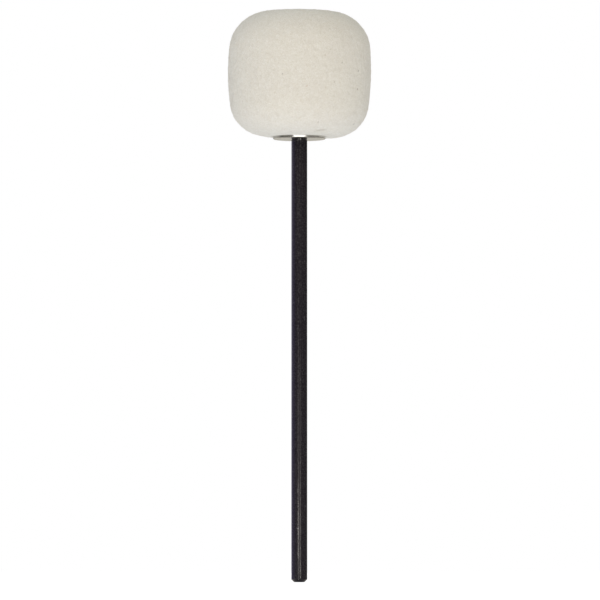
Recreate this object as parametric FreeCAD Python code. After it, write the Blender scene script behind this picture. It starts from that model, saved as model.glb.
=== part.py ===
"""Felt bass drum beater: a round felt head clamped on a slim black steel rod.

Millimetres, +Z up along the rod.  The origin is on the axis, in the flat face of the rod's lower tip.

The rod's top is turned down to a threaded spigot, which leaves a square shoulder.  The stack on the spigot,
from the shoulder upwards, is: lower washer, felt head, upper washer, nylon-insert lock nut.  The upper
washer and the nut sit in a recess in the head's crown, so that no metal stands above the felt.
"""
import FreeCAD, Part
import math
import os

# Driving dimensions of the rod
SHAFT_DIAMETER = 6.35
SHAFT_LENGTH = 177.8            # lower tip to shoulder
TIP_CHAMFER = 1.1
SHOULDER_WIDTH = 0.76           # step from the rod down to the spigot, on the radius
SHOULDER_CHAMFER = 0.2
THREAD_END_CHAMFER = 0.5
THREAD_PROUD = 1.0              # bare thread above the nut

# Driving dimensions of the two washers, which are alike
WASHER_DIAMETER = 21.0
WASHER_THICKNESS = 1.3
WASHER_EDGE_ROUND = 0.35        # edge rolled over by the stamping die
WASHER_HOLE_CLEARANCE = 0.25    # round the thread, on the radius

# Driving dimensions of the felt head
FELT_DIAMETER = 57.4
FELT_HEIGHT = 50.0
FELT_WIDEST_RAISE = 1.2         # of the widest place, above half the height
FELT_SIDE_RADIUS = 110.0        # of the barrelled side, along the axis
FELT_BOTTOM_CORNER_RADIUS = 14.0
FELT_TOP_CORNER_RADIUS = 15.8
FELT_BORE_CLEARANCE = 0.05      # round the thread, on the radius
RECESS_DEPTH = 10.0
RECESS_CLEARANCE = 0.6          # round the upper washer, on the radius
RECESS_MOUTH_ROUND = 1.0

# Driving dimensions of the lock nut
NUT_SIDES = 6
NUT_WALL = 2.35                 # from the thread to a flat, on the radius
NUT_HEX_HEIGHT = 4.0
NUT_CORNER_ANGLE = 30.0         # slope of the turned chamfer on the hexagon's corners, degrees
NUT_BORE_CLEARANCE = 0.05       # round the thread, on the radius
NUT_COLLAR_STEP = 0.35          # from a flat in to the round collar
NUT_COLLAR_WALL = 0.8
NUT_COLLAR_ROUND = 0.7
NUT_LIP_THICKNESS = 0.4         # of the collar's edge, rolled in over the nylon ring
NUT_LIP_REACH = 0.5             # of that edge over the ring, on the radius

# Driving dimensions of the nylon ring in the nut's collar
INSERT_HEIGHT = 1.7
INSERT_LEAD_IN = 0.3            # chamfer that lets the thread start

OVERRUN = 1.0                   # by which a cutting tool passes the face that it cuts
FULL_TURN = 360.0
OUT = "parts"

# Radii that follow from the sizes above
SHAFT_RADIUS = SHAFT_DIAMETER / 2
THREAD_RADIUS = SHAFT_RADIUS - SHOULDER_WIDTH
WASHER_RADIUS = WASHER_DIAMETER / 2
FELT_RADIUS = FELT_DIAMETER / 2
RECESS_RADIUS = WASHER_RADIUS + RECESS_CLEARANCE
NUT_FLAT_RADIUS = THREAD_RADIUS + NUT_WALL
COLLAR_RADIUS = NUT_FLAT_RADIUS - NUT_COLLAR_STEP
INSERT_RADIUS = COLLAR_RADIUS - NUT_COLLAR_WALL

# Heights that follow from the sizes above, up the stack from the shoulder
SHOULDER_Z = SHAFT_LENGTH
FELT_BOTTOM_Z = SHOULDER_Z + WASHER_THICKNESS
FELT_TOP_Z = FELT_BOTTOM_Z + FELT_HEIGHT
RECESS_FLOOR_Z = FELT_TOP_Z - RECESS_DEPTH
NUT_SEAT_Z = RECESS_FLOOR_Z + WASHER_THICKNESS
INSERT_SEAT_Z = NUT_SEAT_Z + NUT_HEX_HEIGHT
INSERT_TOP_Z = INSERT_SEAT_Z + INSERT_HEIGHT
NUT_TOP_Z = INSERT_TOP_Z + NUT_LIP_THICKNESS
THREAD_TOP_Z = NUT_TOP_Z + THREAD_PROUD

ORIGIN = FreeCAD.Vector(0, 0, 0)
UP = FreeCAD.Vector(0, 0, 1)


def at(radius, height):
    """A point of a profile: its distance from the axis and its height."""
    return FreeCAD.Vector(radius, 0, height)


def line(start, end):
    return Part.LineSegment(start, end).toShape()


def arc(centre, radius, from_angle, to_angle):
    """An arc in the profile's plane.  Angles are in radians above the outward horizontal."""
    angles = (from_angle, (from_angle + to_angle) / 2, to_angle)
    points = [centre + at(radius * math.cos(a), radius * math.sin(a)) for a in angles]
    return Part.Arc(*points).toShape()


def turned(edges):
    """The solid that a closed profile sweeps in one turn about the axis."""
    return Part.Face(Part.Wire(edges)).revolve(ORIGIN, UP, FULL_TURN)


def turned_polygon(points):
    """The same for a profile of straight lines."""
    return turned([line(a, b) for a, b in zip(points, points[1:] + points[:1])])


def cutter(radius, low_z, high_z):
    """A round tool on the axis."""
    return Part.makeCylinder(radius, high_z - low_z, at(0, low_z))


def shaft():
    """Rod with a chamfered lower tip, a square shoulder and the spigot that carries the thread."""
    return turned_polygon([
        at(0, 0),
        at(SHAFT_RADIUS - TIP_CHAMFER, 0),
        at(SHAFT_RADIUS, TIP_CHAMFER),
        at(SHAFT_RADIUS, SHOULDER_Z - SHOULDER_CHAMFER),
        at(SHAFT_RADIUS - SHOULDER_CHAMFER, SHOULDER_Z),
        at(THREAD_RADIUS, SHOULDER_Z),
        at(THREAD_RADIUS, THREAD_TOP_Z - THREAD_END_CHAMFER),
        at(THREAD_RADIUS - THREAD_END_CHAMFER, THREAD_TOP_Z),
        at(0, THREAD_TOP_Z),
    ])


def washer(seat_z, away):
    """Stamped washer on the felt's face at seat_z.  It lies above that face where away is 1, below for -1.

    The die rolled the outer edge of the face that looks away from the felt.
    """
    hole_radius = THREAD_RADIUS + WASHER_HOLE_CLEARANCE
    outer_z = seat_z + away * WASHER_THICKNESS
    round_centre = at(WASHER_RADIUS - WASHER_EDGE_ROUND, outer_z - away * WASHER_EDGE_ROUND)
    return turned([
        line(at(hole_radius, seat_z), at(WASHER_RADIUS, seat_z)),
        line(at(WASHER_RADIUS, seat_z), at(WASHER_RADIUS, round_centre.z)),
        arc(round_centre, WASHER_EDGE_ROUND, 0, away * math.pi / 2),
        line(at(round_centre.x, outer_z), at(hole_radius, outer_z)),
        line(at(hole_radius, outer_z), at(hole_radius, seat_z)),
    ])


def corner_centre(side_centre, corner_radius, height):
    """Centre, at a height, of a corner arc that lies inside the barrelled side's arc and touches it."""
    reach = FELT_SIDE_RADIUS - corner_radius
    rise = height - side_centre.z
    return at(side_centre.x + math.sqrt(reach ** 2 - rise ** 2), height)


def slope_to(start, end):
    """Angle of the line from start to end above the outward horizontal, in radians."""
    return math.atan2(end.z - start.z, end.x - start.x)


def felt_block():
    """Barrel-shaped felt with rounded rims: the outer wall is three arcs that touch."""
    side_centre = at(FELT_RADIUS - FELT_SIDE_RADIUS, FELT_BOTTOM_Z + FELT_HEIGHT / 2 + FELT_WIDEST_RAISE)
    low_centre = corner_centre(
        side_centre, FELT_BOTTOM_CORNER_RADIUS, FELT_BOTTOM_Z + FELT_BOTTOM_CORNER_RADIUS
    )
    top_centre = corner_centre(side_centre, FELT_TOP_CORNER_RADIUS, FELT_TOP_Z - FELT_TOP_CORNER_RADIUS)
    low_join = slope_to(side_centre, low_centre)
    top_join = slope_to(side_centre, top_centre)
    return turned([
        line(at(0, FELT_BOTTOM_Z), at(low_centre.x, FELT_BOTTOM_Z)),
        arc(low_centre, FELT_BOTTOM_CORNER_RADIUS, -math.pi / 2, low_join),
        arc(side_centre, FELT_SIDE_RADIUS, low_join, top_join),
        arc(top_centre, FELT_TOP_CORNER_RADIUS, top_join, math.pi / 2),
        line(at(top_centre.x, FELT_TOP_Z), at(0, FELT_TOP_Z)),
        line(at(0, FELT_TOP_Z), at(0, FELT_BOTTOM_Z)),
    ])


def recess_mouth(head):
    """The highest round edge on the recess's wall."""
    on_wall = [
        edge for edge in head.Edges
        if isinstance(edge.Curve, Part.Circle) and math.isclose(edge.Curve.Radius, RECESS_RADIUS)
    ]
    return max(on_wall, key=lambda edge: edge.BoundBox.ZMin)


def felt_head():
    """The felt block with its bore for the spigot and the soft-edged recess for the nut."""
    bore = cutter(THREAD_RADIUS + FELT_BORE_CLEARANCE, FELT_BOTTOM_Z - OVERRUN, FELT_TOP_Z)
    recess = cutter(RECESS_RADIUS, RECESS_FLOOR_Z, FELT_TOP_Z + OVERRUN)
    head = felt_block().cut(bore).cut(recess)
    return head.makeFillet(RECESS_MOUTH_ROUND, [recess_mouth(head)])


def hexagon_bar():
    """Six-sided bar, its lower and upper corners turned off at the corner angle."""
    corner_radius = NUT_FLAT_RADIUS / math.cos(math.pi / NUT_SIDES)
    turns = [2 * math.pi * side / NUT_SIDES for side in range(NUT_SIDES)]
    corners = [
        FreeCAD.Vector(corner_radius * math.cos(t), corner_radius * math.sin(t), NUT_SEAT_Z) for t in turns
    ]
    bar = Part.Face(Part.makePolygon(corners + corners[:1])).extrude(UP * NUT_HEX_HEIGHT)
    drop = (corner_radius - NUT_FLAT_RADIUS) * math.tan(math.radians(NUT_CORNER_ANGLE))
    turned_blank = turned_polygon([
        at(0, NUT_SEAT_Z),
        at(NUT_FLAT_RADIUS, NUT_SEAT_Z),
        at(corner_radius, NUT_SEAT_Z + drop),
        at(corner_radius, INSERT_SEAT_Z - drop),
        at(NUT_FLAT_RADIUS, INSERT_SEAT_Z),
        at(0, INSERT_SEAT_Z),
    ])
    return bar.common(turned_blank)


def lock_nut():
    """Hexagon nut with a round collar, whose rolled lip holds the nylon ring in its seat."""
    round_centre = at(COLLAR_RADIUS - NUT_COLLAR_ROUND, NUT_TOP_Z - NUT_COLLAR_ROUND)
    collar = turned([
        line(at(0, INSERT_SEAT_Z), at(COLLAR_RADIUS, INSERT_SEAT_Z)),
        line(at(COLLAR_RADIUS, INSERT_SEAT_Z), at(COLLAR_RADIUS, round_centre.z)),
        arc(round_centre, NUT_COLLAR_ROUND, 0, math.pi / 2),
        line(at(round_centre.x, NUT_TOP_Z), at(0, NUT_TOP_Z)),
        line(at(0, NUT_TOP_Z), at(0, INSERT_SEAT_Z)),
    ])
    thread_hole = cutter(THREAD_RADIUS + NUT_BORE_CLEARANCE, NUT_SEAT_Z - OVERRUN, INSERT_TOP_Z)
    insert_seat = cutter(INSERT_RADIUS, INSERT_SEAT_Z, INSERT_TOP_Z)
    lip_opening = cutter(INSERT_RADIUS - NUT_LIP_REACH, INSERT_SEAT_Z, NUT_TOP_Z + OVERRUN)
    blank = hexagon_bar().fuse(collar).removeSplitter()
    return blank.cut(thread_hole).cut(insert_seat).cut(lip_opening)


def nut_insert():
    """Nylon ring that grips the thread, with a lead-in chamfer at each end."""
    return turned_polygon([
        at(THREAD_RADIUS + INSERT_LEAD_IN, INSERT_SEAT_Z),
        at(INSERT_RADIUS, INSERT_SEAT_Z),
        at(INSERT_RADIUS, INSERT_TOP_Z),
        at(THREAD_RADIUS + INSERT_LEAD_IN, INSERT_TOP_Z),
        at(THREAD_RADIUS, INSERT_TOP_Z - INSERT_LEAD_IN),
        at(THREAD_RADIUS, INSERT_SEAT_Z + INSERT_LEAD_IN),
    ])


def pieces():
    """Every separate piece of the beater, by the name of its node, from the tip upwards."""
    return {
        "shaft": shaft(),
        "lower_washer": washer(FELT_BOTTOM_Z, -1),
        "felt_head": felt_head(),
        "upper_washer": washer(RECESS_FLOOR_Z, 1),
        "lock_nut": lock_nut(),
        "nut_insert": nut_insert(),
    }


def main():
    os.makedirs(OUT, exist_ok=True)
    for name, shape in pieces().items():
        shape.exportStep(os.path.join(OUT, name + ".step"))
        low, high = shape.BoundBox.ZMin, shape.BoundBox.ZMax
        print(
            f"{name}: {len(shape.Solids)} solid, valid {shape.isValid()},"
            f" {shape.Volume:.1f} mm3, {low:.2f} to {high:.2f} mm up"
        )


main()
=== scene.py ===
# %% [markdown]
# # A felt bass drum beater
#
# The beater is a slim black steel rod with a block of pressed wool felt clamped on its top end.  This lesson
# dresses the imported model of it: the frame gives every piece its place and size, and each cell below makes
# one piece or one finish.  Everything is in metres, with +Z up the rod and the rod's lower tip at the origin.

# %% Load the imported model
import math

import bpy
import numpy as np
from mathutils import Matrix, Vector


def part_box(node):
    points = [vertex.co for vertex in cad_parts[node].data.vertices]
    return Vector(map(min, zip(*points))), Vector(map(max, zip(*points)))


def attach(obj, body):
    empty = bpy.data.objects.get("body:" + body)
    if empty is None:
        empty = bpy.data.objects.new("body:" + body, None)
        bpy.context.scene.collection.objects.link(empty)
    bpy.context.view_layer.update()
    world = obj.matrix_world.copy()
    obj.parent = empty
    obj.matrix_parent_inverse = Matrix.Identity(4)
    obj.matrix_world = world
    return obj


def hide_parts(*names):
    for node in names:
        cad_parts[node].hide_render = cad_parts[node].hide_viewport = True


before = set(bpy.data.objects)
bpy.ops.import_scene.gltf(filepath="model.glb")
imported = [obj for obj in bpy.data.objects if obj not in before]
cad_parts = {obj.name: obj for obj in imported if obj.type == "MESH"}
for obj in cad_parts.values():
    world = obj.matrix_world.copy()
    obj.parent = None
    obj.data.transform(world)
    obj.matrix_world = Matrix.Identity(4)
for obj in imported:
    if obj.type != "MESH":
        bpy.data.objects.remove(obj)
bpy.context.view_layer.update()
MM = 0.001

# %% [markdown]
# ## Camera
#
# The photograph was taken from far in front with a long lens, low down: the rod's lower tip shows as a level
# line, while the washer's underside shows as a thin ellipse.  A camera could be turned and shifted until it
# looks right, but three measures settle it: the rod's width in pixels gives the size of a pixel at the rod,
# the tip's level line gives the height of the lens, and the depth of the ellipse gives its distance.

# %% Camera at the photograph's place
PHOTO_SIDE = 600                # pixels
ROD_PIXELS = 15.83              # width of the rod in the photograph
AXIS_PIXEL = 299.28             # column of the rod's axis
TIP_PIXEL = 582.05              # row of the rod's lower tip
DISTANCE_PIXELS = 5500          # from the lens to the rod, in pixels at the rod
LENS_HEIGHT = 10 * MM
SENSOR = 36.0                   # millimetres

rod_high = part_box("shaft")[1]
rod_radius = rod_high.x
pixel = 2 * rod_radius / ROD_PIXELS
distance = DISTANCE_PIXELS * pixel
aim_height = (TIP_PIXEL - PHOTO_SIDE / 2) * pixel
tilt_up = math.atan2(aim_height - LENS_HEIGHT, distance)

camera_data = bpy.data.cameras.new("camera")
camera_data.sensor_width = SENSOR
camera_data.lens = SENSOR * DISTANCE_PIXELS / PHOTO_SIDE
camera = bpy.data.objects.new("camera", camera_data)
camera.location = ((PHOTO_SIDE / 2 - AXIS_PIXEL) * pixel, -distance, LENS_HEIGHT)
camera.rotation_euler = (math.pi / 2 + tilt_up, 0, 0)
bpy.context.scene.collection.objects.link(camera)
bpy.context.scene.camera = camera
print("pixel at the rod", round(pixel / MM, 4), "mm")
print("lens", round(camera_data.lens), "mm at", round(distance, 2), "m")

# %% [markdown]
# ## Two helpers: a colour and a node
#
# Colours are written as sRGB hex values, as a paint program shows them, while shaders work in linear light.
# One function turns the one into the other.  A second one adds a node to a tree, sets its values and links
# its inputs, so that each material below reads as a short list of what it is made of.

# %% Colour and node helpers
MIX_A, MIX_B, MIX_OUT = 6, 7, 2     # colour sockets of a Mix node


def linear(hex_colour):
    """Linear RGBA of an sRGB hex value: each channel over 255, then through the sRGB curve."""
    srgb = np.array([int(hex_colour[i:i + 2], 16) for i in (1, 3, 5)]) / 255
    rgb = np.where(srgb <= 0.04045, srgb / 12.92, ((srgb + 0.055) / 1.055) ** 2.4)
    return (*rgb.tolist(), 1.0)


def add(tree, kind, settings=None, links=None):
    """Adds a node, sets its attributes or unlinked inputs, and links outputs into its other inputs."""
    made = tree.nodes.new("ShaderNode" + kind)
    for key, value in (settings or {}).items():
        if isinstance(key, str) and hasattr(made, key):
            setattr(made, key, value)
        else:
            made.inputs[key].default_value = value
    for key, output in (links or {}).items():
        tree.links.new(output, made.inputs[key])
    return made


def empty_material(name):
    """A material with no nodes, and its node tree."""
    material = bpy.data.materials.new(name)
    material.use_nodes = True
    material.node_tree.nodes.clear()
    return material, material.node_tree


print("paper white", linear("#ffffff"), "felt white", [round(x, 3) for x in linear("#e0dacf")])

# %% [markdown]
# ## Light and backdrop
#
# The photograph has a white ground with no horizon.  Soft light comes from all round, more of it from
# overhead, and a warm light from the front, so the felt is brightest in the middle and only a little darker
# at its edges.  The plated washer and the rod tell what stood round them: a lit table below, a ceiling, a
# pale backdrop behind and to the left, a dark room in front, and there a soft box, with low panels and strips
# beside the camera.  A lamp from behind lights the side that the photograph doesn't show.
#
# A picture of a real studio could light the scene, but then nothing in it could be set by itself.  So lamps
# stand for what shines, and a few slopes in the world give the rest: it is white where the camera sees it,
# soft where it lights a matt surface, and table, ceiling, backdrop and dark room where metal mirrors it.

# %% World: soft fill
FILL_LEFT = linear("#b5b5b9")
FILL_RIGHT = linear("#968e7f")
FILL_TOP = linear("#a4b2c0")        # added towards the zenith

world = bpy.data.worlds.new("studio")
bpy.context.scene.world = world
world.use_nodes = True
tree = world.node_tree
tree.nodes.clear()
way = add(tree, "TexCoord").outputs["Generated"]
parts = add(tree, "SeparateXYZ", links={0: way})
rise, depth = parts.outputs["Z"], parts.outputs["Y"]
sideways = add(tree, "MapRange", {"From Min": -1.0, "From Max": 1.0}, {"Value": parts.outputs["X"]})
sides = add(
    tree, "Mix", {"data_type": "RGBA", MIX_A: FILL_LEFT, MIX_B: FILL_RIGHT}, {0: sideways.outputs["Result"]}
)
even = add(
    tree, "Mix", {"data_type": "RGBA", "blend_type": "ADD", MIX_B: FILL_TOP},
    {0: rise, MIX_A: sides.outputs[MIX_OUT]},
)
print("soft fill of", len(tree.nodes), "nodes")

# %% World: a room for the metal to mirror
DARK_ROOM = linear("#17171a")
BACKDROP = linear("#dad8d4")
BACKDROP_WAY = (-0.75, 0.66, 0.0)   # from the beater to the middle of the backdrop
BACKDROP_SPREAD = (0.72, 1.0)       # share of that way in a mirrored ray, from dark room to full backdrop
BACKDROP_RISE = (-0.05, 0.12)       # rise of a mirrored ray, from below the horizon to the lit backdrop
TABLE = linear("#fffaf0")
TABLE_RISE = (0.0, -0.10)           # from the horizon down to the lit table
TABLE_SPREAD = (0.0, 0.9)           # depth of a mirrored ray, from beside the beater to behind it
TABLE_LEVEL = (0.42, 0.66)
TABLE_FRONT = (-0.80, -0.92)        # and in front, where the panels light the table
TABLE_SHADE = (-0.95, -0.60)        # rise of a mirrored ray straight below, where the beater shades the table
TABLE_SHADED = (0.2, 1.0)           # share of the table's light left there
CEILING = linear("#f4f4f2")
CEILING_RISE = (0.2, 0.7)

backward = add(tree, "VectorMath", {"operation": "DOT_PRODUCT", 1: BACKDROP_WAY}, {0: way})
slopes = {
    "beside": ("SMOOTHSTEP", BACKDROP_SPREAD, (0, 1), backward.outputs["Value"]),
    "above": ("LINEAR", BACKDROP_RISE, (0, 1), rise),
    "below": ("LINEAR", TABLE_RISE, (0, 1), rise),
    "along": ("LINEAR", TABLE_SPREAD, TABLE_LEVEL, depth),
    "before": ("SMOOTHSTEP", TABLE_FRONT, (0, 1), depth),
    "shaded": ("LINEAR", TABLE_SHADE, TABLE_SHADED, rise),
    "overhead": ("SMOOTHSTEP", CEILING_RISE, (0, 1), rise),
}
ramps = {
    name: add(
        tree, "MapRange",
        {"interpolation_type": kind, "From Min": low, "From Max": high, "To Min": first, "To Max": last},
        {"Value": value},
    ).outputs["Result"]
    for name, (kind, (low, high), (first, last), value) in slopes.items()
}
backdrop = add(tree, "Math", {"operation": "MULTIPLY"}, {0: ramps["beside"], 1: ramps["above"]})
lit = add(tree, "Math", {"operation": "MAXIMUM"}, {0: ramps["along"], 1: ramps["before"]})
spread = add(tree, "Math", {"operation": "MULTIPLY"}, {0: ramps["below"], 1: lit.outputs[0]})
table = add(tree, "Math", {"operation": "MULTIPLY"}, {0: spread.outputs[0], 1: ramps["shaded"]})
mirrored = add(
    tree, "Mix", {"data_type": "RGBA", MIX_A: DARK_ROOM, MIX_B: BACKDROP}, {0: backdrop.outputs[0]}
)
for colour, share in ((TABLE, table.outputs[0]), (CEILING, ramps["overhead"])):
    mirrored = add(
        tree, "Mix", {"data_type": "RGBA", MIX_B: colour}, {0: share, MIX_A: mirrored.outputs[MIX_OUT]}
    )
print("room of", len(slopes), "slopes")

# %% World: what each kind of ray meets
WHITE = linear("#ffffff")

path = add(tree, "LightPath")
fill = add(
    tree, "Mix", {"data_type": "RGBA"},
    {0: path.outputs["Is Glossy Ray"], MIX_A: even.outputs[MIX_OUT], MIX_B: mirrored.outputs[MIX_OUT]},
)
seen = add(
    tree, "Math", {"operation": "MAXIMUM"},
    {0: path.outputs["Is Camera Ray"], 1: path.outputs["Is Transmission Ray"]},
)
ground = add(
    tree, "Mix", {"data_type": "RGBA", MIX_B: WHITE}, {0: seen.outputs[0], MIX_A: fill.outputs[MIX_OUT]}
)
background = add(tree, "Background", links={"Color": ground.outputs[MIX_OUT]})
add(tree, "OutputWorld", links={"Surface": background.outputs[0]})
print("world of", len(tree.nodes), "nodes")

# %% Lamps
# name, size, watts, place, tilt up from facing down, turn to the left, colour, seen in metal
LAMPS = [
    ("front_light", (0.6, 0.4), 1.1, (-0.08, -1.2, 0.14), 92, 0, "#fff0d6", False),
    ("back_light", (0.6, 0.4), 2.4, (0.12, 1.2, 0.30), 85, 180, "#ffedd8", False),
    ("soft_box", (1.3, 0.25), 2.5, (0.0, -1.2, 0.62), 70, 0, "#ffeee0", True),
    ("high_panel", (1.2, 0.24), 2.4, (0.02, -1.2, 0.22), 90, 0, "#ffffff", True),
    ("cool_side", (1.3, 0.26), 0.3, (-0.44, 0.235, 0.11), 90, -118, "#9688ff", True),
    ("left_panel", (0.21, 0.13), 0.060, (-0.24, -1.0, 0.065), 90, 0, "#fffaf2", True),
    ("right_panel", (0.25, 0.13), 0.065, (0.287, -1.0, 0.065), 90, 0, "#fffaf2", True),
    ("middle_panel", (0.28, 0.13), 0.03, (0.012, -1.0, 0.065), 90, 0, "#fffaf2", True),
    ("left_strip", (0.24, 0.020), 0.22, (-0.255, -0.99, 0.012), 90, 0, "#fffaf2", True),
    ("middle_strip", (0.28, 0.026), 0.03, (0.012, -0.99, 0.017), 90, 0, "#fffaf2", True),
    ("right_strip", (0.25, 0.020), 0.20, (0.287, -0.99, 0.012), 90, 0, "#fffaf2", True),
]


def lamp(name, size, watts, place, tilt, turn, colour, mirrored):
    """A rectangular soft light that shines along its own -Z.  The camera doesn't see it."""
    data = bpy.data.lights.new(name, "AREA")
    data.shape = "RECTANGLE"
    data.size, data.size_y = size
    data.energy = watts
    data.color = linear(colour)[:3]
    made = bpy.data.objects.new(name, data)
    made.location = place
    made.rotation_euler = (math.radians(tilt), 0, math.radians(turn))
    made.visible_camera = False
    made.visible_glossy = mirrored
    bpy.context.scene.collection.objects.link(made)


for values in LAMPS:
    lamp(*values)
print("lamps", [values[0] for values in LAMPS])

# %% White paper
FLOOR_GLOW = 0.84                   # white of its own, to which the light on the paper adds the rest
FLOOR_LIT = linear("#969696")       # paper's answer to that light, and so how deep a shadow shows
FLOOR_BOUNCE = 0.40                 # lift of the light that the paper throws up at the head


def white_paper():
    """White paper sweep: mostly white of itself to the camera, so no horizon shows, yet it keeps a shadow."""
    material, tree = empty_material("white_paper_sweep")
    path = add(tree, "LightPath")
    glow = add(tree, "Emission", {"Color": WHITE, "Strength": FLOOR_GLOW})
    faint = add(tree, "BsdfDiffuse", {"Color": FLOOR_LIT})
    seen = add(tree, "AddShader", links={0: glow.outputs[0], 1: faint.outputs[0]})
    lift = add(tree, "Emission", {"Color": linear("#eaeeff"), "Strength": FLOOR_BOUNCE})
    paper = add(tree, "BsdfDiffuse", {"Color": linear("#f0f0f0")})
    bounce = add(tree, "AddShader", links={0: lift.outputs[0], 1: paper.outputs[0]})
    shown = add(
        tree, "MixShader", links={0: path.outputs["Is Camera Ray"], 1: bounce.outputs[0], 2: seen.outputs[0]}
    )
    below = add(tree, "NewGeometry").outputs["Backfacing"]
    clear = add(tree, "BsdfTransparent")
    one_sided = add(tree, "MixShader", links={0: below, 1: shown.outputs[0], 2: clear.outputs[0]})
    add(tree, "OutputMaterial", links={"Surface": one_sided.outputs[0]})
    return material


paper_material = white_paper()
print("paper glows at", FLOOR_GLOW)

# %% Floor
FLOOR_HALF = 1.5

floor_mesh = bpy.data.meshes.new("floor")
corners = FLOOR_HALF * np.array([(-1, -1, 0), (1, -1, 0), (1, 1, 0), (-1, 1, 0)])
floor_mesh.from_pydata(corners.tolist(), [], [(0, 1, 2, 3)])
floor_mesh.materials.append(paper_material)
floor = bpy.data.objects.new("floor", floor_mesh)
floor.visible_glossy = False        # metal shows the world's table and dark room in its place
floor.visible_shadow = False        # low lamps shine past its edge
bpy.context.scene.collection.objects.link(floor)
print("floor", 2 * FLOOR_HALF, "m wide")

# %% [markdown]
# ## How the pieces are made
#
# Every piece of the beater is turned or stamped round one axis, so each is a profile carried once round it.
# A Screw modifier could do that.  Here a grid of points holds the piece instead: one row for each point of
# the profile, one column for each angle.  The rows may close on themselves, as on a washer, or end on the
# axis, as on the rod.  Because a grid is only an array, any unevenness, thread or flat is one more formula on
# the whole array.

# %% Profiles
SAME_POINT = 1e-4 * MM              # points nearer than this are one
EDGE_GUARD = 0.04 * MM              # from the end of an arc to the point that keeps the next run straight


def rounded(corners, radii, steps=6):
    """A profile of straight runs with rounded corners, as an array of (radius, height) points.

    At each corner the arc that touches both runs has its ends tan(half the turn) x radius from the corner.
    A corner of no radius stays a single sharp point: the points that fall together are dropped.
    One more point close beside each end of an arc keeps the runs' shading straight.
    """
    corners = np.asarray(corners, float)
    radii = np.asarray(radii, float)[:, None]
    to_last = np.roll(corners, 1, axis=0) - corners
    to_next = np.roll(corners, -1, axis=0) - corners
    to_last /= np.linalg.norm(to_last, axis=1, keepdims=True)
    to_next /= np.linalg.norm(to_next, axis=1, keepdims=True)
    half_gap = np.arccos(np.clip((to_last * to_next).sum(axis=1, keepdims=True), -1, 1)) / 2
    across = (to_next - to_last) / np.linalg.norm(to_next - to_last, axis=1, keepdims=True)
    turn = np.sign(to_next[:, :1] * to_last[:, 1:] - to_next[:, 1:] * to_last[:, :1])
    middle = turn * np.stack([-across[:, 1], across[:, 0]], axis=-1)
    centre = corners + middle * radii / np.sin(half_gap)
    sweep = (np.pi / 2 - half_gap) * np.linspace(-1, 1, steps)
    arcs = centre[:, None] + radii[:, None] * (
        np.sin(sweep)[..., None] * across[:, None] - np.cos(sweep)[..., None] * middle[:, None]
    )
    before = arcs[:, :1] + EDGE_GUARD * to_last[:, None]
    after = arcs[:, -1:] + EDGE_GUARD * to_next[:, None]
    points = np.concatenate([before, arcs, after], axis=1).reshape(-1, 2)
    apart = np.linalg.norm(points - np.roll(points, 1, axis=0), axis=1) > SAME_POINT
    return points[apart]


def dense(profile, step):
    """A profile with further points on its runs, so that none is more than a step from the next.

    The new points lie at whole steps of the length along the profile, on the runs between the old ones.
    """
    along = np.concatenate([[0], np.cumsum(np.linalg.norm(np.diff(profile, axis=0), axis=1))])
    places = np.union1d(along, np.arange(0, along[-1], step))
    places = places[np.append(np.diff(places) > SAME_POINT, True)]
    return np.stack([np.interp(places, along, column) for column in profile.T], axis=-1)


unit_square = [(1, 0), (2, 0), (2, 1), (1, 1)]
print("a square with rounded corners has", len(rounded(unit_square, [0.1] * 4)), "points")


# %% Profiles carried round the axis
def angles(columns):
    """Angles of the columns, from the back, all the way round."""
    return np.linspace(0, 2 * np.pi, columns, endpoint=False) + np.pi / 2


def turned(profile, columns):
    """Points of a profile carried round the axis: x = r cos a, y = r sin a, z = height."""
    a = angles(columns)
    r, z = profile[:, :1], profile[:, 1:]
    return np.stack([r * np.cos(a), r * np.sin(a), np.broadcast_to(z, (len(z), columns))], axis=-1)


print("four columns stand at", np.degrees(angles(4)).round().tolist(), "degrees")

# %% Pieces from points
SHARP_ANGLE = math.radians(40)      # a fold sharper than this stays an edge


def mesh_piece(name, points, faces, material):
    """An object at the origin from a list of points and a list of faces."""
    mesh = bpy.data.meshes.new(name)
    mesh.from_pydata(points.tolist(), [], faces)
    mesh.shade_smooth()
    mesh.materials.append(material)
    made = bpy.data.objects.new(name, mesh)
    bpy.context.scene.collection.objects.link(made)
    print(name, len(points), "points,", len(faces), "faces")
    return made


def grid_piece(name, points, closed_rows, material):
    """An object from a grid of points [row, column].  Columns go round and close.

    Rows close as a ring does, or else the first and last rows shrink to one point each on the axis.
    The rows run so that the outside is on their right, seen with the axis upwards.
    """
    rows, columns = points.shape[:2]
    index = np.arange(rows * columns).reshape(rows, columns)
    if not closed_rows:
        index[0], index[-1] = index[0, 0], index[-1, 0]
    low = index if closed_rows else index[:-1]
    high = np.roll(index, -1, axis=0) if closed_rows else index[1:]
    quads = np.stack([low, np.roll(low, -1, axis=1), np.roll(high, -1, axis=1), high], axis=-1).reshape(-1, 4)
    used, compact = np.unique(quads, return_inverse=True)
    faces = [list(dict.fromkeys(quad)) for quad in compact.reshape(-1, 4).tolist()]
    made = mesh_piece(name, points.reshape(-1, 3)[used], faces, material)
    made.data.set_sharp_from_angle(angle=SHARP_ANGLE)
    return made


print("folds past", round(math.degrees(SHARP_ANGLE)), "degrees stay sharp")
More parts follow.
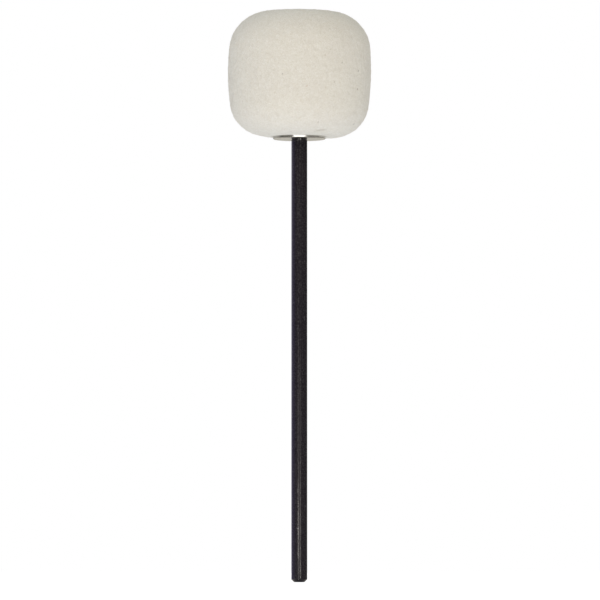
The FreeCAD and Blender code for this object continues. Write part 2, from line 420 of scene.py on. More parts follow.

# %% [markdown]
# ## Wool felt
#
# Pressed wool felt is a mat of fine fibres, cut and sanded to shape.  From arm's length it is an even
# off-white with a fine mottle, a few darker specks from the fleece, and no shine.  The mottle could be one
# noise, but felt shows three sizes at once: cloudy patches from uneven wool, clumps of fibre, and the fibres
# themselves.  The specks, and the painted shade in the crease beside the washer, sit in a colour attribute of
# the mesh, because they belong to places on it.

# %% Felt material
FELT_CLOUD = 12 * MM
FELT_CLUMP = 1.4 * MM
FELT_FIBRE = 0.4 * MM              # real fibres are a tenth of this; drawn coarser, so that they show
FLECKS = (0.3, 0.7)                # of the fibre noise, from the darkest fleck to the palest
CLUMP_SHARE = 0.2                  # how much the clumps mottle the colour
FIBRE_SHARE = 0.55                 # and how much the fibres do
FELT_RELIEF = 0.15 * MM
# colour attribute: tints of the specks, and painted shade along the crease
SPECKS_AND_CREASE_SHADE = "speck_tint_and_crease_shade"


def wool_felt():
    """Off-white pressed wool felt, sanded: matt, finely mottled, faintly fuzzy at grazing angles."""
    material, tree = empty_material("pressed_wool_felt")
    place = add(tree, "TexCoord").outputs["Object"]
    cloud = add(tree, "TexNoise", {"Scale": 1 / FELT_CLOUD, "Detail": 1.0}, {"Vector": place})
    clump = add(tree, "TexNoise", {"Scale": 1 / FELT_CLUMP, "Detail": 2.0}, {"Vector": place})
    fibre = add(
        tree, "TexNoise", {"Scale": 1 / FELT_FIBRE, "Detail": 2.0, "Distortion": 2.0}, {"Vector": place}
    )
    flecks = add(
        tree, "MapRange", {"From Min": FLECKS[0], "From Max": FLECKS[1]}, {"Value": fibre.outputs["Fac"]}
    )
    cloudy = add(
        tree, "Mix", {"data_type": "RGBA", MIX_A: linear("#e2ddd0"), MIX_B: linear("#e6e2d4")},
        {0: cloud.outputs["Fac"]},
    )
    clumped = add(
        tree, "Mix", {"data_type": "RGBA", "blend_type": "SOFT_LIGHT", 0: CLUMP_SHARE},
        {MIX_A: cloudy.outputs[MIX_OUT], MIX_B: clump.outputs["Fac"]},
    )
    fibred = add(
        tree, "Mix", {"data_type": "RGBA", "blend_type": "SOFT_LIGHT", 0: FIBRE_SHARE},
        {MIX_A: clumped.outputs[MIX_OUT], MIX_B: flecks.outputs["Result"]},
    )
    tint = add(tree, "Attribute", {"attribute_name": SPECKS_AND_CREASE_SHADE})
    # multiplies in the speck tints and the crease's painted shade
    specked_and_crease_shaded = add(
        tree, "Mix", {"data_type": "RGBA", "blend_type": "MULTIPLY", 0: 1.0},
        {MIX_A: fibred.outputs[MIX_OUT], MIX_B: tint.outputs["Color"]},
    )
    height = add(
        tree, "Math", {"operation": "ADD"}, {0: clump.outputs["Fac"], 1: fibre.outputs["Fac"]}
    )
    bump = add(tree, "Bump", {"Strength": 0.8, "Distance": FELT_RELIEF}, {"Height": height.outputs[0]})
    felt = add(
        tree, "BsdfPrincipled",
        {"Roughness": 0.95, "Specular IOR Level": 0.1, "Sheen Weight": 0.02, "Sheen Roughness": 0.6},
        {"Base Color": specked_and_crease_shaded.outputs[MIX_OUT], "Normal": bump.outputs[0]},
    )
    add(tree, "OutputMaterial", links={"Surface": felt.outputs[0]})
    return material


felt_material = wool_felt()
print("felt mottle of", [round(size / MM, 2) for size in (FELT_CLOUD, FELT_CLUMP, FELT_FIBRE)], "mm")

# %% [markdown]
# ## Felt head
#
# The head is a barrel with well rounded rims, a bore for the rod's spigot and a recess in its crown for the
# nut.  Three arcs that touch make its outer wall.  A lathe would leave it perfectly round, but felt is soft:
# a sum of slow waves swells and sinks its wall a little, it sits slightly askew on the rod, and one shallow
# crease runs beside the washer.  Where the washers press it, it stays flat, and round the lower one it bulges
# down.

# %% Arcs and straight runs of an outline
FELT_ROW_STEP = 0.5 * MM


def arc(centre, radius, start, end, step=FELT_ROW_STEP):
    """Points along an arc in the profile's plane, the angles above the outward horizontal."""
    a = np.linspace(start, end, max(3, int(abs(end - start) * radius / step)))
    return np.stack([centre[0] + radius * np.cos(a), centre[1] + radius * np.sin(a)], axis=-1)


def run(start, end, step=FELT_ROW_STEP):
    """Points along a straight run, without its ends."""
    count = max(3, int(math.dist(start, end) / step))
    return np.linspace(start, end, count)[1:-1]


print("points of the felt's outline about", FELT_ROW_STEP / MM, "mm apart")

# %% Profile of the felt
FELT_SIDE_RADIUS = 110 * MM
FELT_WIDEST_RAISE = 1.2 * MM        # of its widest place above its middle
FELT_BOTTOM_CORNER_RADIUS = 14 * MM
FELT_TOP_CORNER_RADIUS = 15.8 * MM
RECESS_MOUTH_ROUND = 1.0 * MM
RECESS_RADIUS = 11.1 * MM
SPIGOT_RADIUS = 2.415 * MM          # of its thread's crest
BORE_CLEARANCE = 0.05 * MM          # of felt and nut round the spigot
FELT_BORE_RADIUS = SPIGOT_RADIUS + BORE_CLEARANCE
PRESS_GAP = 0.1 * MM                # from the washer's rim to the bulge round it
PRESS_RISE = 0.6 * MM               # across which the bulge comes down

felt_low, felt_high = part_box("felt_head")
washer_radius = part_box("lower_washer")[1].x
felt_radius = felt_high.x
recess_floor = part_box("upper_washer")[0].z


def felt_profile():
    """Closed outline of the felt: from the bore's foot outwards, up the wall, back down recess and bore.

    A rim's centre lies (side radius - rim radius) from the side's centre, so the arcs touch.
    """
    side = np.array([felt_radius - FELT_SIDE_RADIUS, (felt_low.z + felt_high.z) / 2 + FELT_WIDEST_RAISE])

    def rim_centre(radius, height):
        return np.array([
            side[0] + math.sqrt((FELT_SIDE_RADIUS - radius) ** 2 - (height - side[1]) ** 2), height
        ])

    low = rim_centre(FELT_BOTTOM_CORNER_RADIUS, felt_low.z + FELT_BOTTOM_CORNER_RADIUS)
    top = rim_centre(FELT_TOP_CORNER_RADIUS, felt_high.z - FELT_TOP_CORNER_RADIUS)
    low_join = math.atan2(low[1] - side[1], low[0] - side[0])
    top_join = math.atan2(top[1] - side[1], top[0] - side[0])
    mouth = np.array([RECESS_RADIUS + RECESS_MOUTH_ROUND, felt_high.z - RECESS_MOUTH_ROUND])
    foot, floor_edge = (FELT_BORE_RADIUS, felt_low.z), (RECESS_RADIUS, recess_floor)
    bore_top = (FELT_BORE_RADIUS, recess_floor)
    pressed, bulged = ((washer_radius + gap, felt_low.z) for gap in (PRESS_GAP, PRESS_GAP + 2 * PRESS_RISE))
    return np.concatenate([
        [foot], run(foot, pressed), [pressed], run(pressed, bulged, PRESS_RISE / 6), [bulged],
        run(bulged, (low[0], felt_low.z)),
        arc(low, FELT_BOTTOM_CORNER_RADIUS, -np.pi / 2, low_join),
        arc(side, FELT_SIDE_RADIUS, low_join, top_join)[1:-1],
        arc(top, FELT_TOP_CORNER_RADIUS, top_join, np.pi / 2),
        run((top[0], felt_high.z), (mouth[0], felt_high.z)),
        arc(mouth, RECESS_MOUTH_ROUND, np.pi / 2, np.pi),
        run((RECESS_RADIUS, mouth[1]), floor_edge), [floor_edge],
        run(floor_edge, bore_top, 2 * FELT_ROW_STEP), [bore_top],
        run(bore_top, foot, 6 * FELT_ROW_STEP),
    ])


profile = felt_profile()
print("felt profile", len(profile), "points")

# %% Smooth steps, waves and normals
WAVE_SPREAD = (0.7, 1.5)            # shortest and longest wave, as shares of the length


def smooth(share):
    """A share held between 0 and 1 that starts and ends level: 3 x squared less 2 x cubed."""
    share = np.clip(share, 0, 1)
    return share * share * (3 - 2 * share)


def waves(points, length, count, seed):
    """A smooth noise: a sum of sine waves of about one length in random directions, scaled to about 1."""
    draw = np.random.default_rng(seed)
    direction = draw.normal(size=(count, 3))
    direction /= np.linalg.norm(direction, axis=1, keepdims=True)
    rate = 2 * np.pi / (length * draw.uniform(*WAVE_SPREAD, size=count))
    phase = draw.uniform(0, 2 * np.pi, size=count)
    return np.sin(points @ (direction * rate[:, None]).T + phase).sum(axis=-1) / math.sqrt(count / 2)


def outward(points):
    """Unit normals of a grid that closes both ways, from the differences of its neighbours."""
    along = np.roll(points, -1, axis=0) - np.roll(points, 1, axis=0)
    around = np.roll(points, -1, axis=1) - np.roll(points, 1, axis=1)
    normal = np.cross(around, along)
    return normal / np.linalg.norm(normal, axis=-1, keepdims=True)


print("smooth steps", smooth(np.linspace(0, 1, 5)).round(3).tolist())

# %% Bulge, swells and grain of the felt
FELT_COLUMNS = 420
PRESS_FALL = 4 * MM                 # across which the bulge fades out
PRESS_BULGE = 0.25 * MM
UNDERSIDE = 1.0 * MM                # height up to which a point is on the underside
SEAT_MARGIN = 1.0 * MM              # past the washer's rim, where the felt is still held flat
SEAT_RADIUS = washer_radius + SEAT_MARGIN
SEAT_FADE = 5 * MM                  # across which it comes free
FELT_SWELL = 0.03 * MM              # slow rise and fall of the wall
FELT_SWELL_LENGTH = 22 * MM
FELT_SWELL_WAVES = 24
FELT_GRAIN = 0.045 * MM             # fine roughness of the sanded wall
FELT_GRAIN_LENGTH = 2.0 * MM
FELT_GRAIN_WAVES = 60

felt_points = turned(profile, FELT_COLUMNS)
reach = np.linalg.norm(felt_points[..., :2], axis=-1)
past_rim = reach - washer_radius - PRESS_GAP
bulge = smooth(past_rim / PRESS_RISE) * (1 - smooth(past_rim / PRESS_FALL))
felt_points[..., 2] -= np.where(felt_points[..., 2] < felt_low.z + UNDERSIDE, PRESS_BULGE * bulge, 0)
free = smooth((reach - SEAT_RADIUS) / SEAT_FADE)
swell = FELT_SWELL * waves(felt_points, FELT_SWELL_LENGTH, FELT_SWELL_WAVES, seed=3)
grain = FELT_GRAIN * waves(felt_points, FELT_GRAIN_LENGTH, FELT_GRAIN_WAVES, seed=4)
felt_points = felt_points + outward(felt_points) * (free * (swell + grain))[..., None]
print("felt wall moved by up to", round(float(np.abs(free * (swell + grain)).max() / MM), 3), "mm")

# %% Lean of the felt
LEAN = math.tan(math.radians(0.68))         # how far the head leans to the right, for each length up
LEAN_BOTTOM = math.tan(math.radians(1.15))  # drop of its underside, for each length to the right
LEAN_CROWN = math.tan(math.radians(0.5))    # and of its crown
LEAN_PIVOT = 194.1 * MM                     # height that the lean leaves in place

up_share = (felt_points[..., 2] - felt_low.z) / (felt_high.z - felt_low.z)
drop = (LEAN_BOTTOM + up_share * (LEAN_CROWN - LEAN_BOTTOM)) * felt_points[..., 0]
shove = LEAN * (felt_points[..., 2] - LEAN_PIVOT)
felt_points += free[..., None] * np.stack([shove, np.zeros_like(shove), -drop], axis=-1)
print("crown moved aside by", round(float(shove.max() / MM), 3), "mm")

# %% [markdown]
# Felt keeps small marks: here one crease beside the washer, darkened with painted shade along it, and dark
# specks from the fleece.  They could be painted on by hand, but each has a place in the photograph, so the
# grid's points are first seen through the camera: a point's column and row are its sideways and upward
# distance from the lens's axis, over its distance along that axis.  Round the back, which the photograph
# doesn't show, as many specks are drawn at random.

# %% The felt as the camera sees it
forward = np.array([0, math.cos(tilt_up), math.sin(tilt_up)])
upward = np.array([0, -math.sin(tilt_up), math.cos(tilt_up)])


def seen_at(points):
    """Column and row of each point in the photograph, from the camera's place, tilt and lens."""
    away = points - np.array(camera.location)
    scale = DISTANCE_PIXELS / (away @ forward)
    across, up = away[..., 0] * scale, (away @ upward) * scale
    return np.stack([PHOTO_SIDE / 2 + across, PHOTO_SIDE / 2 - up], axis=-1)


normals = outward(felt_points)
on_photo = seen_at(felt_points)
facing = (normals @ forward < 0) & (free > 0)
print("felt points that face the camera", int(facing.sum()), "of", facing.size)

# %% Crease beside the washer
CREASE_PIXELS = ((315.0, 130.9), (326.0, 129.7))    # its two ends
CREASE_DEPTH = 0.16 * MM
CREASE_HALF_WIDTH = 0.7                             # pixels
CREASE_ENDS = (0.1, 0.9)                            # of a half wave that shapes its depth along it

start, end = np.array(CREASE_PIXELS)
share = np.clip((on_photo - start) @ (end - start) / ((end - start) @ (end - start)), 0, 1)
off = np.linalg.norm(on_photo - start - share[..., None] * (end - start), axis=-1)
depth_along = np.sin(np.pi * np.interp(share, (0, 1), CREASE_ENDS))
crease = np.where(facing, np.exp(-(off / CREASE_HALF_WIDTH) ** 2) * depth_along, 0)
felt_points -= normals * (CREASE_DEPTH * crease)[..., None]
print("deepest crease", round(float(crease.max() * CREASE_DEPTH / MM), 3), "mm")

# %% Painted shade of the crease, and tints of the specks
# painted shade: the felt's colour is darkened towards this along the middle of the crease
CREASE_PAINTED_SHADE = "#dedbd4"
SEEN_SPECKS = [                     # column, row, tint
    (282, 74, "#cecbc8"), (342, 62, "#cdcbc1"), (358, 70, "#b0aba3"), (334, 81, "#e1dcd5"),
    (357, 89, "#977a66"), (353, 124, "#4a443c"), (324, 55, "#e1dcd5"), (330, 49, "#e2ddd6"),
    (318, 122, "#c4beb6"), (306, 86, "#e8d6cb"),
]
PIXEL_CENTRE = 0.5
SPECK_FREE = 0.9                    # a speck on the back is at least this free of the washers
SPECK_SEED = 8
OTHER_SPECKS = 10
OTHER_TINTS = ("#b5b0a8", "#d8d2c9")

# painted shade along the crease first, then the specks' own tints
crease_shade_and_speck_tints = np.ones((*felt_points.shape[:2], 4)) * (1 - crease[..., None] * (1 - np.array(linear(CREASE_PAINTED_SHADE))))
draw = np.random.default_rng(SPECK_SEED)
behind = draw.choice(np.flatnonzero((free > SPECK_FREE) & ~facing), OTHER_SPECKS)
crease_shade_and_speck_tints.reshape(-1, 4)[behind] = np.linspace(linear(OTHER_TINTS[0]), linear(OTHER_TINTS[1]), OTHER_SPECKS)
for column, row, tint in SEEN_SPECKS:
    centre = np.array([column, row]) + PIXEL_CENTRE
    gap = np.where(facing, np.linalg.norm(on_photo - centre, axis=-1), np.inf)
    crease_shade_and_speck_tints[np.unravel_index(np.argmin(gap), gap.shape)] = linear(tint)
print("specks", OTHER_SPECKS + len(SEEN_SPECKS))

# %% Felt body
felt_body = grid_piece("felt_body", felt_points, True, felt_material)
felt_body.data.attributes.new(SPECKS_AND_CREASE_SHADE, "FLOAT_COLOR", "POINT").data.foreach_set("color", crease_shade_and_speck_tints.ravel())
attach(felt_body, "head")
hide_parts("felt_head")

# %% [markdown]
# Sanding leaves loose ends of wool lying on the felt.  Particle hair could give them, but it is not part of a
# mesh and is lost when the part is handed on.  So each is a tiny spindle: two tips and two rings of three
# points, arched over the surface, and the whole coat is one array.

# %% Loose wool material
FIBRE_TONE = "fibre_tone"
DARK_TONE = 0.9                     # from which a fibre turns darker, up to a tone of 1
DARKEST = 0.6                       # share of the dark colour there


def loose_wool():
    """Single wool fibres: off-white like the felt, a few of them grey or brown."""
    material, tree = empty_material("loose_wool_fibre")
    tone = add(tree, "Attribute", {"attribute_name": FIBRE_TONE})
    dark = add(
        tree, "MapRange", {"From Min": DARK_TONE, "From Max": 1.0, "To Max": DARKEST},
        {"Value": tone.outputs["Fac"]},
    )
    wool = add(
        tree, "Mix", {"data_type": "RGBA", MIX_A: linear("#e5dfd3"), MIX_B: linear("#8e8579")},
        {0: dark.outputs["Result"]},
    )
    strand = add(
        tree, "BsdfPrincipled", {"Roughness": 0.9, "Specular IOR Level": 0.1},
        {"Base Color": wool.outputs[MIX_OUT]},
    )
    add(tree, "OutputMaterial", links={"Surface": strand.outputs[0]})
    return material


fibre_material = loose_wool()
print("fibres that turn darker", round(1 - DARK_TONE, 2), "of all")

# %% Shape of the fibres
FIBRE_LENGTH = (0.8 * MM, 2.6 * MM)
FIBRE_RADIUS = 0.018 * MM
FIBRE_LIFT = (0.02 * MM, 0.12 * MM)
FIBRE_SINK = 0.03 * MM
FIBRE_BEND = 0.35                   # sideways bow, as a share of the half length
FIBRE_STATIONS = np.array([-1, -0.4, 0.4, 1])
FIBRE_FACES = [
    (0, 2, 1), (0, 3, 2), (0, 1, 3),
    (1, 2, 5, 4), (2, 3, 6, 5), (3, 1, 4, 6),
    (7, 4, 5), (7, 5, 6), (7, 6, 4),
]


def fibre_points(feet, up, draw):
    """Eight points for each fibre, at places s = -1, -0.4, 0.4 and 1 along it.

    Its spine is foot + s x half length along the surface + bow x s squared sideways, at a height of
    lift x (1 - s squared) less the sink.  The two middle places carry a ring of three points each.
    """
    count = len(feet)
    along = np.cross(up, draw.normal(size=(count, 3)))
    along /= np.linalg.norm(along, axis=1, keepdims=True)
    across = np.cross(up, along)
    half = draw.uniform(*FIBRE_LENGTH, size=(count, 1, 1)) / 2
    lift = draw.uniform(*FIBRE_LIFT, size=(count, 1, 1))
    bow = draw.uniform(-FIBRE_BEND, FIBRE_BEND, size=(count, 1, 1)) * half
    s = FIBRE_STATIONS[None, :, None]
    spine = feet[:, None] + half * s * along[:, None] + bow * s * s * across[:, None]
    spine = spine + (lift * (1 - s * s) - FIBRE_SINK) * up[:, None]
    a = np.arange(3)[None, :, None] * 2 * np.pi / 3
    ring = FIBRE_RADIUS * (np.cos(a) * across[:, None] + np.sin(a) * up[:, None])
    return np.concatenate([spine[:, :1], spine[:, 1:2] + ring, spine[:, 2:3] + ring, spine[:, 3:]], axis=1)


print("faces of one fibre", len(FIBRE_FACES))

# %% Coat of loose fibres
FIBRES = 9000
FIBRE_FREE = 0.5                    # a fibre's foot is at least this free of the washers
FIBRE_SEED = 5

draw = np.random.default_rng(FIBRE_SEED)
row_step = np.linalg.norm(np.roll(profile, -1, axis=0) - np.roll(profile, 1, axis=0), axis=1)[:, None]
area = np.where(free > FIBRE_FREE, reach * row_step, 0).ravel()
chosen = draw.choice(area.size, FIBRES, p=area / area.sum())
strands = fibre_points(felt_points.reshape(-1, 3)[chosen], normals.reshape(-1, 3)[chosen], draw)
each = np.arange(FIBRES) * strands.shape[1]
strand_faces = [[corner + foot for corner in face] for foot in each.tolist() for face in FIBRE_FACES]
felt_fuzz = mesh_piece("felt_fuzz", strands.reshape(-1, 3), strand_faces, fibre_material)
tones = np.repeat(draw.uniform(size=FIBRES), strands.shape[1])
felt_fuzz.data.attributes.new(FIBRE_TONE, "FLOAT", "POINT").data.foreach_set("value", tones)
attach(felt_fuzz, "head")

# %% [markdown]
# ## Black rod
#
# The rod is drawn steel with a black oxide skin.  Oxide is dark and hard, and its shiny and dull spots break
# its shine into glints.  The drawing die leaves fine lines along it, and handling leaves small pale scuffs.
# On the shoulder's edge a small near-white spot is a painted glint, laid into the colour as if the oxide
# were chipped off there.  One colour with one roughness would look like plastic, so noises of three sizes
# vary the colour, the shine and the relief.

# %% Black oxide material
DRAWN_LINE = 0.3 * MM               # lines and grain are drawn coarser than real ones, so that they show
DRAWN_LINE_LENGTH = 25 * MM
LINE_RELIEF = 0.02 * MM
SCUFF = 1.4 * MM
SCUFF_PALE = (0.66, 0.74)           # of the scuff noise, from no scuff to a full one
OXIDE_GRAIN = 0.5 * MM
OXIDE_RELIEF = 0.017 * MM
OXIDE_SPOTS = (0.35, 0.65)          # of the grain noise, from the darkest spot to the palest
OXIDE_UNEVEN = (0.2, 0.3)           # of grain times lines, from the shiniest spot to the dullest
DULL = (0.0, 0.28)                  # roughness there
GLINT_NICK_RADIUS = 0.35 * MM             # of a painted glint on the shoulder's edge, where the oxide is chipped off
GLINT_NICK_SIDE = 0.49 * MM               # to the right of the axis
GLINT_NICK_DROP = 0.1 * MM                # below the shoulder

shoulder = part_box("lower_washer")[0].z
glint_nick = (GLINT_NICK_SIDE, -math.sqrt(rod_radius ** 2 - GLINT_NICK_SIDE ** 2), shoulder - GLINT_NICK_DROP)


def black_oxide_steel():
    """Black oxide on drawn steel: near black, a dull shine, fine lines along the rod, small pale scuffs."""
    material, tree = empty_material("black_oxide_drawn_steel")
    place = add(tree, "TexCoord").outputs["Object"]
    stretched = add(
        tree, "Mapping", {"Scale": (1 / DRAWN_LINE, 1 / DRAWN_LINE, 1 / DRAWN_LINE_LENGTH)}, {"Vector": place}
    )
    lines = add(tree, "TexNoise", {"Scale": 1.0, "Detail": 4.0}, {"Vector": stretched.outputs[0]})
    scuffs = add(tree, "TexNoise", {"Scale": 1 / SCUFF, "Detail": 6.0}, {"Vector": place})
    grain = add(tree, "TexNoise", {"Scale": 1 / OXIDE_GRAIN, "Detail": 2.0}, {"Vector": place})
    uneven = add(tree, "Math", {"operation": "MULTIPLY"}, {0: lines.outputs["Fac"], 1: grain.outputs["Fac"]})
    off = add(tree, "VectorMath", {"operation": "DISTANCE", 1: glint_nick}, {0: place})
    pale, dull, spots, painted_glint = (
        add(
            tree, "MapRange", {"From Min": low, "From Max": high, "To Min": first, "To Max": last},
            {"Value": value},
        ).outputs["Result"]
        for (low, high), (first, last), value in (
            (SCUFF_PALE, (0, 1), scuffs.outputs["Fac"]),
            (OXIDE_UNEVEN, DULL, uneven.outputs[0]),
            (OXIDE_SPOTS, (0, 1), grain.outputs["Fac"]),
            ((GLINT_NICK_RADIUS, 0), (0, 1), off.outputs["Value"]),
        )
    )
    skin = add(
        tree, "Mix", {"data_type": "RGBA", MIX_A: linear("#201d21"), MIX_B: linear("#2d2a2d")}, {0: spots}
    )
    worn = add(
        tree, "Mix", {"data_type": "RGBA", MIX_B: linear("#4c4a4d")},
        {0: pale, MIX_A: skin.outputs[MIX_OUT]},
    )
    # painted glint: the spot on the shoulder's edge turns near white in the colour, standing for a highlight
    with_painted_glint = add(
        tree, "Mix", {"data_type": "RGBA", MIX_B: linear("#dddbd8")},
        {0: painted_glint, MIX_A: worn.outputs[MIX_OUT]},
    )
    drawn = add(tree, "Bump", {"Strength": 0.15, "Distance": LINE_RELIEF}, {"Height": lines.outputs["Fac"]})
    bump = add(
        tree, "Bump", {"Strength": 1.0, "Distance": OXIDE_RELIEF},
        {"Height": grain.outputs["Fac"], "Normal": drawn.outputs[0]},
    )
    oxide = add(
        tree, "BsdfPrincipled", {"IOR": 1.55, "Specular IOR Level": 0.38},
        {"Base Color": with_painted_glint.outputs[MIX_OUT], "Roughness": dull, "Normal": bump.outputs[0]},
    )
    add(tree, "OutputMaterial", links={"Surface": oxide.outputs[0]})
    return material


oxide_material = black_oxide_steel()
print("drawn lines", round(DRAWN_LINE / MM, 2), "mm apart")

# %% [markdown]
# The rod's lower tip has a chamfer, its top a shoulder and a thinner spigot with a thread.  The thread could
# be a helix cut out of the spigot, but on a grid it is only a dent in the radius that climbs one pitch in
# each turn.

# %% Profile of the rod
TIP_CHAMFER = 1.1 * MM
SHOULDER_CHAMFER = 0.2 * MM
SHOULDER_ROUND = SHOULDER_CHAMFER / 4
THREAD_END_CHAMFER = 0.5 * MM
THREAD_PITCH = 25.4 / 32 * MM       # 32 threads to the inch
EDGE_ROUND = 0.07 * MM
AXIS_GUARD = 1.0 * MM               # points nearer to the axis belong to an end face
ROD_ROW_STEP = 3 * MM
THREAD_ROW_STEP = THREAD_PITCH / 12

thread_foot = recess_floor
thread_end = rod_high.z - THREAD_END_CHAMFER
rod_corners = [
    (rod_radius - TIP_CHAMFER, 0), (rod_radius, TIP_CHAMFER),
    (rod_radius, shoulder - SHOULDER_CHAMFER), (rod_radius - SHOULDER_CHAMFER, shoulder),
    (SPIGOT_RADIUS, shoulder), (SPIGOT_RADIUS, thread_foot),
    (SPIGOT_RADIUS, thread_end), (SPIGOT_RADIUS - THREAD_END_CHAMFER, rod_high.z),
]
rod_rounds = [EDGE_ROUND, EDGE_ROUND, SHOULDER_ROUND, SHOULDER_ROUND, 0, 0, 0, EDGE_ROUND]
bends = rounded([(0, 0), *rod_corners, (0, rod_high.z)], [0, *rod_rounds, 0])
bends = np.concatenate([[(0, 0)], bends[bends[:, 0] > AXIS_GUARD], [(0, rod_high.z)]])
above = int(np.argmax(bends[:, 1] > thread_foot + EDGE_GUARD))
rod_profile = np.concatenate([
    dense(bends[:above], ROD_ROW_STEP), dense(bends[above - 1:], THREAD_ROW_STEP)[1:]
])
print("rod profile", len(rod_profile), "points")

# %% Rod with its thread
THREAD_DEPTH = 0.45 * MM
THREAD_FLAT = 0.1                   # share of a flank that is level, at the crest and again at the root
THREAD_SKIN = 0.01 * MM             # points this near to the spigot's wall are threaded
ROD_COLUMNS = 96

rod_points = turned(rod_profile, ROD_COLUMNS)
height = rod_points[..., 2]
turn = angles(ROD_COLUMNS)[None, :] / (2 * np.pi)
climb = np.abs(2 * np.mod(height / THREAD_PITCH - turn, 1) - 1)
rod_reach = np.linalg.norm(rod_points[..., :2], axis=-1)
threaded = (height > thread_foot) & (rod_reach > SPIGOT_RADIUS - THREAD_SKIN)
cut = THREAD_DEPTH * np.clip((climb - THREAD_FLAT) / (1 - 2 * THREAD_FLAT), 0, 1)
rod_points[..., :2] *= 1 - (np.where(threaded, cut, 0) / np.maximum(rod_reach, AXIS_GUARD))[..., None]

black_rod = grid_piece("black_rod", rod_points, False, oxide_material)
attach(black_rod, "rod")
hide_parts("shaft")

# %% [markdown]
# ## Plated washers
#
# The washers are stamped from strip and nickel plated.  The plating mirrors the room, softened by fine round
# scratches from tumbling and from the nut.  A picture of scratches could be wrapped on, but noise wound round
# the hole needs no unwrapping.

# %% Nickel plate material
SCRATCH = 0.12 * MM                 # drawn coarser than real ones, so that they show
SCRATCH_RELIEF = 0.02 * MM
PLATE_DULL = (0.19, 0.25)           # roughness, from between the scratches to on them


def nickel_plate():
    """Bright nickel plate on stamped steel: a soft mirror with fine scratches round the hole."""
    material, tree = empty_material("nickel_plated_steel")
    place = add(tree, "TexCoord").outputs["Object"]
    flat = add(tree, "VectorMath", {"operation": "MULTIPLY", 1: (1, 1, 0)}, {0: place})
    reach = add(tree, "VectorMath", {"operation": "LENGTH"}, {0: flat.outputs[0]})
    bearing = add(tree, "VectorMath", {"operation": "NORMALIZE"}, {0: flat.outputs[0]})
    rings = add(
        tree, "Math", {"operation": "MULTIPLY", 1: 1 / SCRATCH}, {0: reach.outputs["Value"]}
    )
    wound = add(tree, "CombineXYZ", links={"Z": rings.outputs[0]})
    along = add(tree, "VectorMath", {"operation": "ADD"}, {0: bearing.outputs[0], 1: wound.outputs[0]})
    scratches = add(tree, "TexNoise", {"Scale": 1.0, "Detail": 3.0}, {"Vector": along.outputs[0]})
    dull = add(
        tree, "MapRange", {"To Min": PLATE_DULL[0], "To Max": PLATE_DULL[1]},
        {"Value": scratches.outputs["Fac"]},
    )
    bump = add(
        tree, "Bump", {"Strength": 0.5, "Distance": SCRATCH_RELIEF}, {"Height": scratches.outputs["Fac"]}
    )
    plate = add(
        tree, "BsdfPrincipled", {"Base Color": linear("#d8d6d0"), "Metallic": 1.0},
        {"Roughness": dull.outputs["Result"], "Normal": bump.outputs[0]},
    )
    add(tree, "OutputMaterial", links={"Surface": plate.outputs[0]})
    return material


plate_material = nickel_plate()
print("scratches", round(SCRATCH / MM, 2), "mm apart")

# %% Washers
WASHER_CLEARANCE = 0.25 * MM
WASHER_HOLE_RADIUS = SPIGOT_RADIUS + WASHER_CLEARANCE
ROLLED_EDGE = 0.35 * MM
BURR_EDGE = 0.08 * MM
WASHER_COLUMNS = 180


def washer(name, node, rolled_above):
    """A flat ring.  The stamping die rolled one outer edge well over and left the other nearly sharp."""
    low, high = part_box(node)
    corners = [(WASHER_HOLE_RADIUS, low.z), (high.x, low.z), (high.x, high.z), (WASHER_HOLE_RADIUS, high.z)]
    lower, upper = (BURR_EDGE, ROLLED_EDGE) if rolled_above else (ROLLED_EDGE, BURR_EDGE)
    outline = rounded(corners, [BURR_EDGE, lower, upper, BURR_EDGE])
    made = grid_piece(name, turned(outline, WASHER_COLUMNS), True, plate_material)
    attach(made, "rod")
    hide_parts(node)


washer("lower_washer_plate", "lower_washer", False)
washer("upper_washer_plate", "upper_washer", True)

# %% [markdown]
# ## Lock nut
#
# The nut is a hexagon with its corners turned off and a round collar that holds a nylon ring.  A cylinder of
# six sides could be bevelled, but the curves where the flats meet the turned corners come out right only when
# it is cut as the real one is: a turned profile, whose radius is cut down to the hexagon where that is less.

# %% Outline of the nut
NUT_SIDES = 6
NUT_WALL = 2.35 * MM                # from the thread's crest to a flat
NUT_HEX_HEIGHT = 4.0 * MM
NUT_CORNER_SLOPE = math.radians(30)
NUT_EDGE = 0.05 * MM
COLLAR_STEP = 0.35 * MM             # from a flat in to the collar
COLLAR_WALL = 0.8 * MM
COLLAR_FOOT = 0.1 * MM              # round in the corner at its foot
COLLAR_ROUND = 0.7 * MM             # over its top, where it is rolled in
LIP_REACH = 0.5 * MM                # of the rolled lip over the ring
LIP_ROUND = 0.12 * MM
NUT_FLAT_RADIUS = SPIGOT_RADIUS + NUT_WALL
NUT_BORE_RADIUS = SPIGOT_RADIUS + BORE_CLEARANCE
COLLAR_RADIUS = NUT_FLAT_RADIUS - COLLAR_STEP
LIP_RADIUS = COLLAR_RADIUS - COLLAR_WALL - LIP_REACH

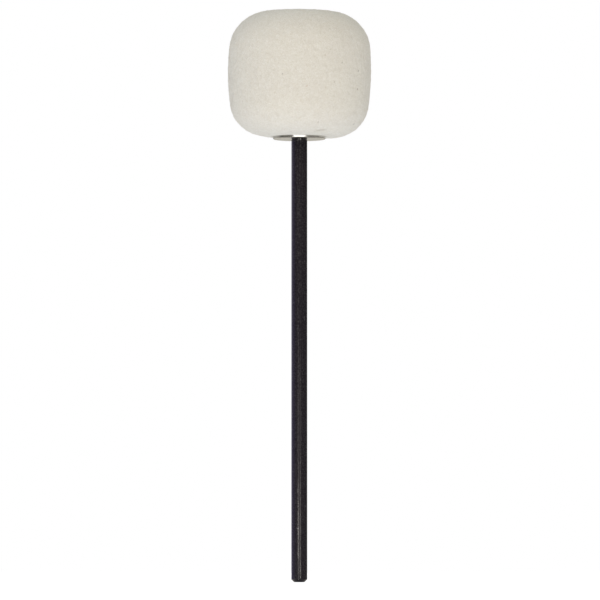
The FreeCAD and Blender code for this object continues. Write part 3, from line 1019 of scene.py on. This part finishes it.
nut_low, nut_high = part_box("lock_nut")
insert_low, insert_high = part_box("nut_insert")
corner_radius = NUT_FLAT_RADIUS / math.cos(math.pi / NUT_SIDES)
corner_drop = (corner_radius - NUT_FLAT_RADIUS) * math.tan(NUT_CORNER_SLOPE)
hex_top = nut_low.z + NUT_HEX_HEIGHT
nut_corners = [
    (NUT_BORE_RADIUS, nut_low.z), (NUT_FLAT_RADIUS, nut_low.z),
    (corner_radius, nut_low.z + corner_drop), (corner_radius, hex_top - corner_drop),
    (NUT_FLAT_RADIUS, hex_top), (COLLAR_RADIUS, hex_top), (COLLAR_RADIUS, nut_high.z),
    (LIP_RADIUS, nut_high.z), (LIP_RADIUS, insert_high.z),
    (insert_high.x, insert_high.z), (insert_high.x, insert_low.z), (NUT_BORE_RADIUS, insert_low.z),
]
nut_rounds = [
    NUT_EDGE, NUT_EDGE, 0, 0, NUT_EDGE, COLLAR_FOOT, COLLAR_ROUND, LIP_ROUND, NUT_EDGE, 0, 0, NUT_EDGE
]
print("nut", round(2 * NUT_FLAT_RADIUS / MM, 2), "mm across its flats")

# %% Nut
NUT_COLUMNS = 240
NUT_ROW_STEP = 0.2 * MM


def lock_nut():
    """A turned blank cut by six flats.

    Its radius is the lesser of the blank's and flat radius / cos(angle to the nearest flat's middle).
    """
    points = turned(dense(rounded(nut_corners, nut_rounds), NUT_ROW_STEP), NUT_COLUMNS)
    a = angles(NUT_COLUMNS)[None, :]
    to_flat = np.mod(a, 2 * np.pi / NUT_SIDES) - np.pi / NUT_SIDES
    reach = np.linalg.norm(points[..., :2], axis=-1)
    cut = np.minimum(reach, NUT_FLAT_RADIUS / np.cos(to_flat))
    points[..., :2] *= (cut / reach)[..., None]
    return grid_piece("lock_nut_body", points, True, plate_material)


nut = lock_nut()
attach(nut, "rod")
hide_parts("lock_nut")

# %% [markdown]
# The ring in the collar is natural nylon, pressed in before the collar's lip is rolled over it.  It grips the
# thread, so that the nut can't shake loose.  It could be a part of the nut with another colour, but it is a
# piece of its own, and a little light goes into nylon, which plain white paint would not show.

# %% Nylon material
NYLON_CLOUD = 1.2 * MM
NYLON_DEPTH = 1.0 * MM              # to which light goes in


def white_nylon():
    """Natural nylon, moulded: milky white, a soft shine, a little light inside."""
    material, tree = empty_material("moulded_nylon")
    place = add(tree, "TexCoord").outputs["Object"]
    cloud = add(tree, "TexNoise", {"Scale": 1 / NYLON_CLOUD, "Detail": 2.0}, {"Vector": place})
    milky = add(
        tree, "Mix", {"data_type": "RGBA", MIX_A: linear("#d9d6ca"), MIX_B: linear("#e6e4dc")},
        {0: cloud.outputs["Fac"]},
    )
    nylon = add(
        tree, "BsdfPrincipled",
        {"Roughness": 0.4, "IOR": 1.53, "Subsurface Weight": 0.3, "Subsurface Radius": [NYLON_DEPTH] * 3},
        {"Base Color": milky.outputs[MIX_OUT]},
    )
    add(tree, "OutputMaterial", links={"Surface": nylon.outputs[0]})
    return material


nylon_material = white_nylon()
print("light goes", NYLON_DEPTH / MM, "mm into the nylon")

# %% Nylon ring
RING_LEAD_IN = 0.3 * MM
RING_EDGE = 0.05 * MM

ring_corners = [
    (SPIGOT_RADIUS + RING_LEAD_IN, insert_low.z), (insert_high.x, insert_low.z),
    (insert_high.x, insert_high.z), (SPIGOT_RADIUS + RING_LEAD_IN, insert_high.z),
    (SPIGOT_RADIUS, insert_high.z - RING_LEAD_IN), (SPIGOT_RADIUS, insert_low.z + RING_LEAD_IN),
]
ring_profile = rounded(ring_corners, [RING_EDGE] * len(ring_corners))
nylon_ring = grid_piece("nylon_ring", turned(ring_profile, ROD_COLUMNS), True, nylon_material)
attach(nylon_ring, "rod")
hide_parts("nut_insert")

# %% [markdown]
# ## Lights for one piece each
#
# Two lamps are there for one piece each: a wide panel that shows only as the white blink in the middle of
# the washer's rim, and a cool light from the left that tints only the rod's edge.  In a studio, flags and
# gels would keep them off everything else; here each lamp is given a list of the pieces that it falls on.

# %% Lamps with their own receivers
LIT_ALONE = {"high_panel": "lower_washer_plate", "cool_side": "black_rod"}

for lamp_name, piece_name in LIT_ALONE.items():
    receivers = bpy.data.collections.new(lamp_name + "_receivers")
    receivers.objects.link(bpy.data.objects[piece_name])
    bpy.data.objects[lamp_name].light_linking.receiver_collection = receivers
print("lit alone", LIT_ALONE)

# %% [markdown]
# ## Finish
#
# The picture is shown with the plain sRGB view, so that colours come out as they are written.

# %% View settings
bpy.context.scene.view_settings.view_transform = "Standard"
